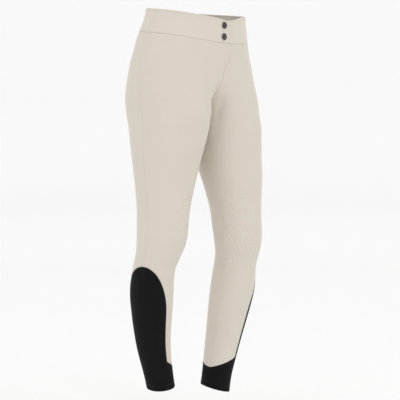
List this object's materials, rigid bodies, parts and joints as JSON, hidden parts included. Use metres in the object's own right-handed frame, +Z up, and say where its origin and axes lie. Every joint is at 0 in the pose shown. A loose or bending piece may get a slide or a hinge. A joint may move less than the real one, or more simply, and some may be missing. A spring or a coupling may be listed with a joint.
{
  "type": "riding breeches",
  "caption": "Riding breeches in their worn, hollow shape: wide snap-closed waistband, fitted legs and stretch lower-leg pieces with cuffs.",
  "frame": {"origin": "near the centre of the waistband's hollow, level with the middle of the band's height", "axes": "+Z up along the body, -Y towards the wearer's front, -X towards the wearer's right"},
  "size_m": [0.3442, 0.2275, 0.9238],
  "materials": {
    "cream_cloth": "matte four-way stretch cloth",
    "waistband_cloth": "matte stretch cloth, sewn double",
    "black_cloth": "matte elastic jersey",
    "snap_metal": "polished gunmetal plating"
  },
  "bodies": {
    "root": {"front_right": "cream_cloth", "front_left": "cream_cloth", "back_right": "cream_cloth", "back_left": "cream_cloth", "leg_stretch_right": "black_cloth", "leg_stretch_left": "black_cloth", "waistband_front_right": "waistband_cloth", "waistband_front_left": "waistband_cloth", "waistband_back": "waistband_cloth", "snap_cap_upper": "snap_metal", "snap_cap_lower": "snap_metal"}
  },
  "joints": []
}
